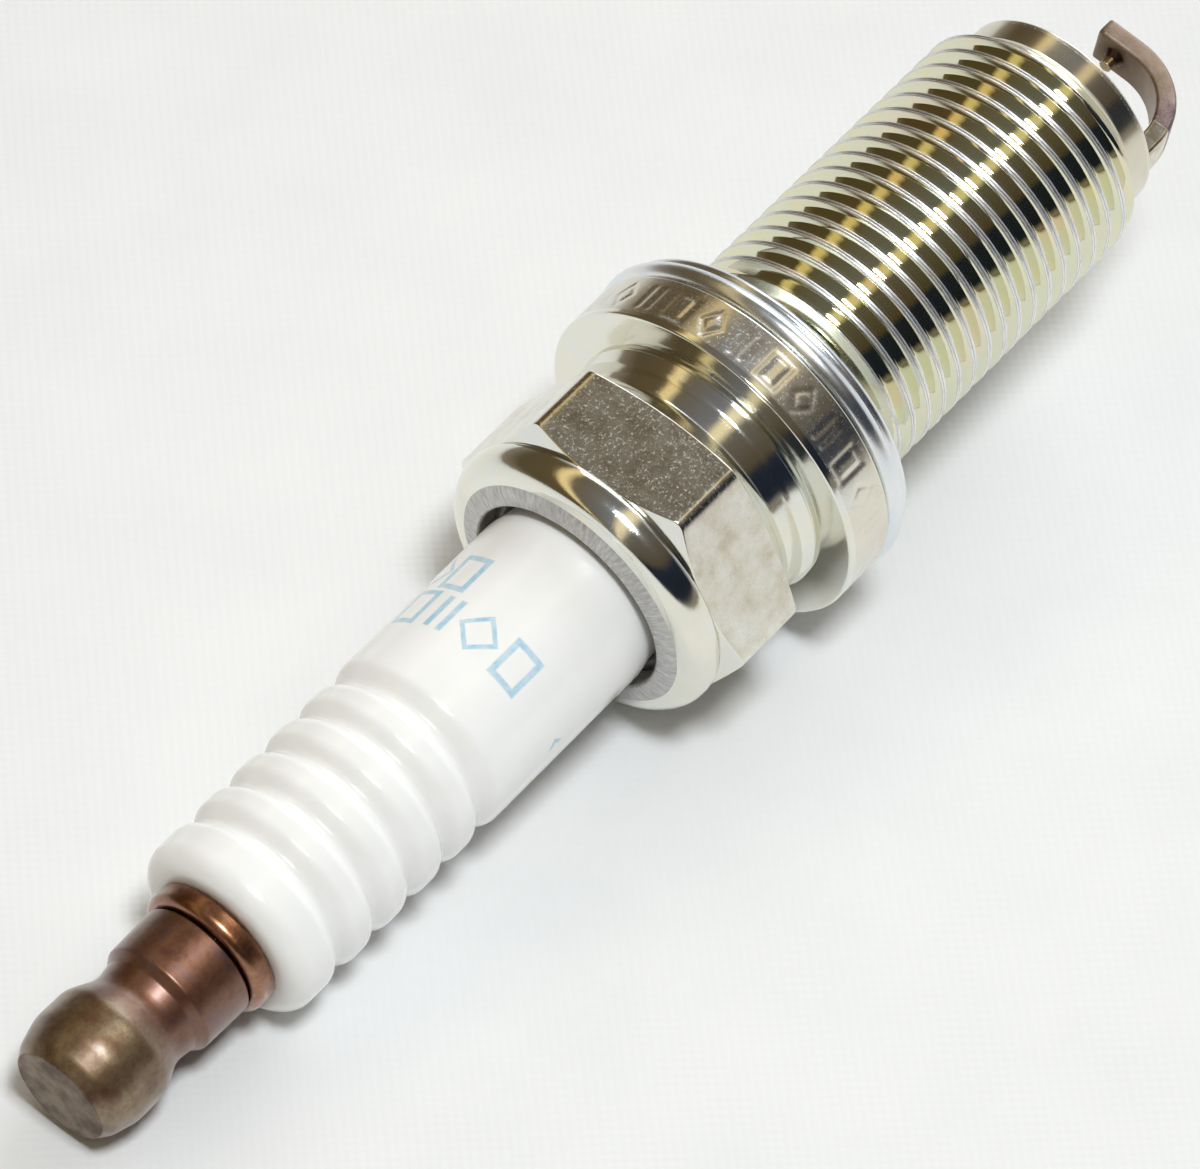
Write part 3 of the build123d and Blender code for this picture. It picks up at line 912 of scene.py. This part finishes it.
def join_land(work, land, at, rows):
    """Closes the thread's end against the pilot's first ring."""
    last = THREAD_TURNS * SHELL_COLUMNS
    for j in range(1, SHELL_COLUMNS):
        corners = at(last + j, 0), at(last + j + 1, 0), on_ring(land, j + 1), on_ring(land, j)
        work.add_face(THREAD, *corners)
    section = [at(last, row) for row in reversed(rows)]
    seam = at(last, 0), at(last + 1, 0), on_ring(land, 1), on_ring(land, 0)
    work.add_face(THREAD, *seam, at(last + SHELL_COLUMNS, 0), *section)


def shell_mesh():
    """The whole shell in one closed mesh: head, thread, pilot and bore."""
    work = ShellWork()
    crimp, neck = add_rings(work, head_rings(work.angles))
    land, bore_end = add_rings(work, pilot_and_bore_rings())
    work.join(bore_end, crimp, POLISHED)
    at, rows = add_thread(work)
    join_neck(work, neck, at, rows)
    join_land(work, land, at, rows)
    return new_object("shell", work.vertices, work.faces, shell_materials, work.materials)


finish_piece(shell_mesh(), "plug", "zinc_plated_steel", "metal_shell")


# --- insulator and its print -----------------------------------------------------------------


def insulator_profile():
    """Ribbed end, barrel, shoulder, body, nose and bore."""
    ribs = []
    for rib in range(rib_count):
        valley_x = first_valley_x + rib * rib_pitch
        ribs.append((valley_x, rib_valley_r, 0.4))
        ribs.append((valley_x + 0.28 * rib_pitch, rib_crest_r, 0.75))
        ribs.append((valley_x + 0.72 * rib_pitch, rib_crest_r, 0.75))
    corners = [
        (insulator_end_x, core_bore_r),
        (insulator_end_x, rib_crest_r, 1.6),
        (first_valley_x - 0.9, rib_crest_r, 0.8),
        *ribs,
        (first_valley_x + rib_count * rib_pitch, rib_valley_r, 0.45),
        (barrel_start_x - 0.7, barrel_r, 0.9),
        (barrel_end_x, barrel_r),
        (packing_start_x - 0.4, packed_barrel_r),
        (insulator_step_x, packed_barrel_r, 0.2),
        (insulator_step_x, shoulder_r, 0.25),
        (-4.95, shoulder_r, 0.6),
        (-2.7, body_r, 0.6),
        (12.06, body_r, 0.1),
        (12.58, nose_root_r, 0.1),
        (nose_tip_x, nose_tip_r, 0.35),
        (nose_tip_x, electrode_bore_r, 0.1),
        (11.2, electrode_bore_r),
        (10.6, core_bore_r),
    ]
    return rounded(corners, step=math.radians(7))


insulator = lathe("insulator_body", insulator_profile(), porcelain, segments=256)
finish_piece(insulator, "plug", "glazed_alumina", "insulator")


# --- terminal ----------------------------------------------------------------------------------


def nut_profile():
    """Collar, neck and bulb of the terminal nut, then its blind bore."""
    outside = [
        (nut_face_x, 2.35),
        (nut_face_x, nut_collar_r - 0.12, 0.05),
        (nut_face_x - 0.12, nut_collar_r, 0.05),
        (nut_face_x - 2.95, nut_collar_r - 0.06, 0.3),
        (nut_face_x - 3.45, nut_collar_r - 0.42, 0.35),
        (nut_face_x - 4.55, nut_neck_r, 1.6),
        (nut_face_x - 6.1, nut_bulb_r - 0.04, 1.4),
        (nut_bulb_x, nut_bulb_r, 2.4),
        (nut_end_x + 0.62, 3.08, 1.0),
        (nut_end_x, nut_neck_r - 0.04, 0.16),
        (nut_end_x, 0.0),
    ]
    bore = [(nut_end_x + 0.8, 0.0), (nut_bore_end_x, nut_bore_r), (nut_face_x - 0.3, nut_bore_r)]
    return rounded(outside, step=math.radians(6)) + bore


nut = lathe("terminal_nut_body", nut_profile(), nut_metal, segments=192)
finish_piece(nut, "nut", "oxidised_terminal_steel", "terminal_nut")


# --- gasket ---------------------------------------------------------------------------------------


def gasket_profile():
    """Sheet folded into a flat spiral, with a large bead at the flange and a small one in front."""
    gap = (-gasket_back_x - 3 * gasket_sheet) / 2
    tongue_back_x = -2 * gasket_sheet - gap
    tongue_front_x = -gasket_sheet - gap
    corners = [
        (gasket_back_x + gasket_sheet, 6.9),
        (gasket_back_x + gasket_sheet, gasket_inner_r, 0.1),
        (gasket_back_x, gasket_inner_r, 0.1),
        *arc(gasket_back_x + 0.63, gasket_r - 0.63, 0.63, 0.63, 180, 14),
        *arc(-0.36, 8.98, 0.36, 0.44, 126, 0),
        (0, fold_r, 0.35),
        (tongue_back_x, fold_r, 0.35),
        (tongue_back_x, gasket_r - 1.2, 0.1),
        (tongue_front_x, gasket_r - 1.2, 0.1),
        (tongue_front_x, fold_r + gasket_sheet, 0.08),
        (-gasket_sheet, fold_r + gasket_sheet, 0.08),
        (-gasket_sheet, gasket_r - 1.2, 0.3),
        (gasket_back_x + gasket_sheet, gasket_r - 1.0, 0.3),
        (gasket_back_x + gasket_sheet, 7.2),
    ]
    return rounded(corners, step=math.radians(7))


gasket = lathe("folded_gasket", gasket_profile(), gasket_plating, segments=320)
finish_piece(gasket, "gasket", "plated_gasket_steel", "crush_gasket")


# --- ground electrode --------------------------------------------------------------------------------

BEND_STEPS = 24
CORNER_STEPS = 5
END_SHRINK = 0.93
strap_out = Vector((0, math.cos(strap_turn), math.sin(strap_turn)))
strap_side = Vector((1, 0, 0)).cross(strap_out)


def strap_path():
    """Middle line of the strap as (x, r, heading), from its foot round the bend to its end."""
    middle_r = strap_outer_r - strap_thickness / 2
    middle_x = strap_outer_x - strap_thickness / 2
    bend = strap_bend_r - strap_thickness / 2
    bend_x = middle_x - bend
    bend_r = middle_r - bend
    path = [(strap_base_x + t * (bend_x - strap_base_x), middle_r, 0.0) for t in (0.0, 0.3, 0.7)]
    for i in range(BEND_STEPS + 1):
        turn = i / BEND_STEPS * math.pi / 2
        path.append((bend_x + bend * math.sin(turn), bend_r + bend * math.cos(turn), turn))
    for t in (0.3, 0.6, 0.85, 0.96, 1.0):
        path.append((middle_x, bend_r + t * (-strap_overhang - bend_r), math.pi / 2))
    return path


def strap_section():
    """A rectangle with rounded corners, as (across, outwards) points."""
    half_width = strap_width / 2 - strap_corner_r
    half_thickness = strap_thickness / 2 - strap_corner_r
    section = []
    for corner, (u, v) in enumerate(((1, 1), (-1, 1), (-1, -1), (1, -1))):
        for i in range(CORNER_STEPS + 1):
            a = (corner + i / CORNER_STEPS) * math.pi / 2
            across = u * half_width + strap_corner_r * math.cos(a)
            outwards = v * half_thickness + strap_corner_r * math.sin(a)
            section.append((across, outwards))
    return section


def strap_mesh():
    """The section carried along the strap's path, with its end cap slightly drawn in."""
    section = strap_section()
    path = strap_path()
    count = len(section)
    vertices = []
    faces = []
    for index, (x, r, turn) in enumerate(path):
        out = Vector((math.sin(turn), 0, 0)) + strap_out * math.cos(turn)
        centre = Vector((x, 0, 0)) + strap_out * r
        size = END_SHRINK if index == len(path) - 1 else 1.0
        for across, outwards in section:
            vertices.append(tuple(centre + strap_side * across * size + out * outwards * size))
    for i in range(len(path) - 1):
        this = i * count
        following = this + count
        for j in range(count):
            n = (j + 1) % count
            faces.append((this + j, this + n, following + n, following + j))
    faces.append(tuple(range(count)))
    faces.append(tuple((len(path) - 1) * count + j for j in reversed(range(count))))
    return new_object("strap", vertices, faces, [strap_nickel])


finish_piece(strap_mesh(), "plug", "ground_strap_nickel", "ground_electrode")


# --- stage, light and camera ----------------------------------------------------------

light_target = (-0.014, 0, 0)
floor_half = 2.0
floor_clearance = 0.06
camera_place = (-0.16804, -0.12849, 0.28461)
camera_target = (-0.0139, -0.0008, 0.0)
focal_length = 210.0
sensor_width = 36.0

# the room's colours by angle, from the +Y side over the top to the -Y side and beneath
room_colours = (
    (0, (0.24, 0.20, 0.15)),
    (16, (0.10, 0.075, 0.04)),
    (46, (0.11, 0.08, 0.04)),
    (51, (0.95, 0.74, 0.36)),
    (56, (0.90, 0.72, 0.38)),
    (62, (0.15, 0.12, 0.08)),
    (98, (0.18, 0.18, 0.19)),
    (103, (0.95, 0.80, 0.48)),
    (109, (0.95, 0.82, 0.55)),
    (115, (0.14, 0.125, 0.11)),
    (143, (0.09, 0.07, 0.045)),
    (149, (0.015, 0.02, 0.035)),
    (174, (0.012, 0.016, 0.026)),
    (180, (0.30, 0.28, 0.24)),
)
pale_end_colour = (0.78, 0.80, 0.82)
pale_end_from = 0.60
pale_end_full = 0.80


def aimed(place, target):
    """Placement of a camera or a lamp that points its -Z at the target, with +Y up."""
    direction = (Vector(target) - Vector(place)).normalized()
    return Matrix.Translation(place) @ direction.to_track_quat("-Z", "Y").to_matrix().to_4x4()


def area_light(name, place, size, power, colour):
    data = bpy.data.lights.new(name, "AREA")
    data.shape = "RECTANGLE"
    data.size, data.size_y = size
    data.energy = power
    data.color = colour
    lamp = bpy.data.objects.new(name, data)
    lamp.matrix_world = aimed(place, light_target)
    bpy.context.scene.collection.objects.link(lamp)


def floor_material():
    m = Shader("white_cloth")
    warp = m.math("SINE", m.math("MULTIPLY", m.x, 9.0))
    weft = m.math("SINE", m.math("MULTIPLY", m.y, 9.0))
    weave = m.math("MULTIPLY", warp, weft)
    soft = m.noise(m.point, scale=0.12, detail=4.0)
    colour = m.ramp(soft, (0.3, (0.80, 0.805, 0.81)), (0.7, (0.83, 0.833, 0.835)))
    return m.finish(color=colour, roughness=0.9, normal=m.bump(weave, 0.03, 0.3))


def lay_floor():
    """A plain floor under the flange's back edge and the terminal's bulb, so the plug lies on it."""
    half = floor_half
    corners = [(-half, -half, 0), (half, -half, 0), (half, half, 0), (-half, half, 0)]
    mesh = bpy.data.meshes.new("floor")
    mesh.from_pydata(corners, [], [(0, 1, 2, 3)])
    mesh.materials.append(floor_material())
    slope = math.atan2(flange_r - nut_bulb_r, flange_back_x - nut_bulb_x)
    place = Vector((flange_back_x, 0, -flange_r - floor_clearance)) * MM
    floor = bpy.data.objects.new("floor", mesh)
    floor.matrix_world = Matrix.Translation(place) @ Matrix.Rotation(slope, 4, "Y")
    bpy.context.scene.collection.objects.link(floor)


def room_band(nodes, links, y, z):
    """The room's colour by the angle round X. Returns the ramp's colour."""
    turn = nodes.new("ShaderNodeMath")
    turn.operation = "ARCTAN2"
    links.new(z, turn.inputs[0])
    links.new(y, turn.inputs[1])
    share = nodes.new("ShaderNodeMath")
    share.operation = "DIVIDE"
    links.new(turn.outputs[0], share.inputs[0])
    share.inputs[1].default_value = math.pi
    band = nodes.new("ShaderNodeValToRGB")
    links.new(share.outputs[0], band.inputs[0])
    ramp = band.color_ramp
    while len(ramp.elements) < len(room_colours):
        ramp.elements.new(0.5)
    for element, (degrees, colour) in zip(ramp.elements, room_colours):
        element.position = degrees / 180
        element.color = (*colour, 1)
    return band.outputs[0]


def studio_world():
    """A dim brown room, dark on one side, with two gold bands above and a pale end in front."""
    world = bpy.data.worlds.new("studio")
    world.use_nodes = True
    nodes = world.node_tree.nodes
    links = world.node_tree.links
    coordinates = nodes.new("ShaderNodeTexCoord")
    split = nodes.new("ShaderNodeSeparateXYZ")
    links.new(coordinates.outputs["Generated"], split.inputs[0])
    band = room_band(nodes, links, split.outputs["Y"], split.outputs["Z"])
    ahead = nodes.new("ShaderNodeMapRange")
    ahead.inputs["From Min"].default_value = pale_end_from
    ahead.inputs["From Max"].default_value = pale_end_full
    links.new(split.outputs["X"], ahead.inputs["Value"])
    mix = nodes.new("ShaderNodeMix")
    mix.data_type = "RGBA"
    links.new(ahead.outputs[0], mix.inputs["Factor"])
    links.new(band, mix.inputs[6])
    mix.inputs[7].default_value = (*pale_end_colour, 1)
    links.new(mix.outputs[2], nodes["Background"].inputs["Color"])
    return world


def place_camera():
    data = bpy.data.cameras.new("camera")
    data.sensor_width = sensor_width
    data.lens = focal_length
    data.clip_start = 0.01
    camera = bpy.data.objects.new("camera", data)
    camera.matrix_world = aimed(camera_place, camera_target)
    bpy.context.scene.collection.objects.link(camera)
    bpy.context.scene.camera = camera


lay_floor()
bpy.context.scene.world = studio_world()
area_light("key", (-0.053, -0.182, 0.624), (0.14, 0.14), 3.0, (0.91, 0.96, 1.0))
area_light("fill", (0.60, 0.12, 0.36), (0.50, 0.40), 1.5, (0.93, 0.97, 1.0))
place_camera()
bpy.context.scene.view_settings.view_transform = "Standard"

bpy.context.view_layer.update()
